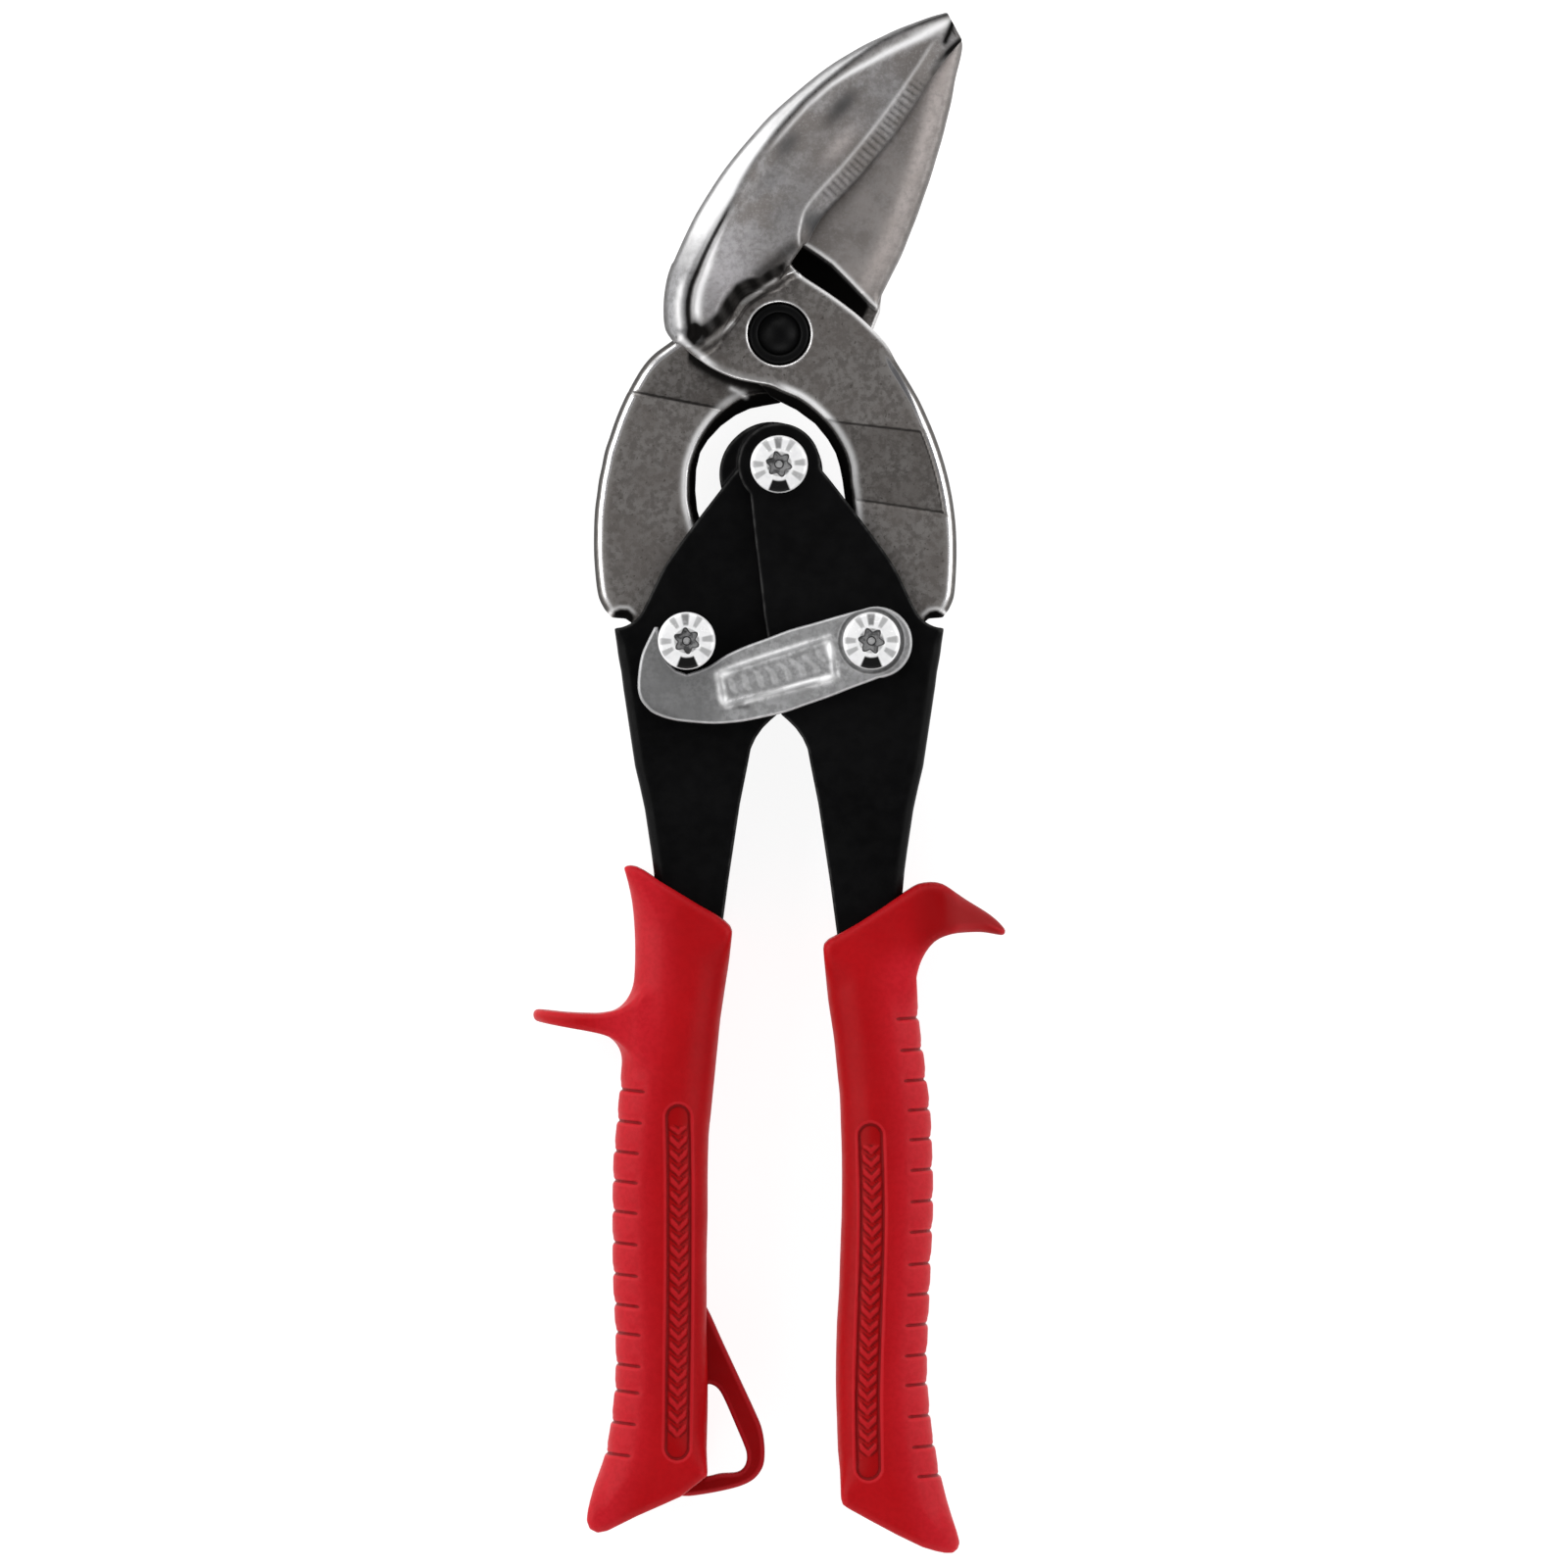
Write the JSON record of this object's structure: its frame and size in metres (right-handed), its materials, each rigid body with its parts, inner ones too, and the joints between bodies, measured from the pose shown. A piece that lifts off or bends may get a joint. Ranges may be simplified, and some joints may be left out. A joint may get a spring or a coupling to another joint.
{
  "type": "aviation snips",
  "caption": "Offset compound-leverage sheet-metal shears: forged jaws, folded steel handles, spring opening, swinging latch, moulded grips with a thumb rest and hang loop.",
  "frame": {"origin": "on the blade pivot's axis, in the plane of the pivot bolt's back face, which is the plane the tool lies on", "axes": "+Y along the tool from the handles to the jaws, +Z along the pivots towards the side with the latch, +X to the right seen from that side"},
  "size_m": [0.0726, 0.2336, 0.0225],
  "materials": {
    "forged_steel": "forged and ground, polished on the rounded edges",
    "black_oxide": "black oxide",
    "black_handle": "satin black powder coat",
    "red_grip": "satin moulded vinyl",
    "bright_zinc": "bright zinc plate",
    "latch_zinc": "satin zinc plate",
    "spring_steel": "black spring wire"
  },
  "bodies": {
    "left_handle": {"left_handle": "black_handle", "left_grip": "red_grip", "left_link_bolt": "bright_zinc", "left_link_nut": "bright_zinc", "latch_catch_collar": "bright_zinc", "handle_pivot_bolt": "bright_zinc", "handle_pivot_nut": "bright_zinc", "spring_sleeve": "bright_zinc", "torsion_spring": "spring_steel"},
    "right_handle": {"right_handle": "black_handle", "right_grip": "red_grip", "right_link_bolt": "bright_zinc", "right_link_nut": "bright_zinc", "latch_washer": "bright_zinc"},
    "rear_blade": {"rear_blade": "forged_steel", "pivot_bolt": "black_oxide", "pivot_washer": "black_oxide", "pivot_nut": "black_oxide"},
    "front_blade": {"front_blade": "forged_steel"},
    "latch": {"latch": "latch_zinc"}
  },
  "joints": [
    {"name": "handle_pivot", "type": "hinge", "parent": "left_handle", "child": "right_handle", "pos_m": [0, -0.02, 0.0105], "axis": [0, 0, 1], "range_deg": [0, 30], "deforming": ["torsion_spring"]},
    {"name": "rear_blade_pivot", "type": "hinge", "parent": "left_handle", "child": "rear_blade", "pos_m": [-0.0141, -0.047, 0.0105], "axis": [0, 0, 1], "range_deg": [0, 6.8]},
    {"name": "front_blade_pivot", "type": "hinge", "parent": "right_handle", "child": "front_blade", "pos_m": [0.0141, -0.047, 0.0105], "axis": [0, 0, 1], "range_deg": [-6.8, 0]},
    {"name": "latch_pivot", "type": "hinge", "parent": "right_handle", "child": "latch", "pos_m": [0.0141, -0.047, 0.0185], "axis": [0, 0, 1], "range_deg": [0, 75]}
  ],
  "couplings": [
    {"joint": "rear_blade_pivot", "follows": "handle_pivot", "ratio": 0.226},
    {"joint": "front_blade_pivot", "follows": "handle_pivot", "ratio": -0.226},
    {"joint": "latch_pivot", "follows": "handle_pivot", "ratio": 2.5}
  ]
}
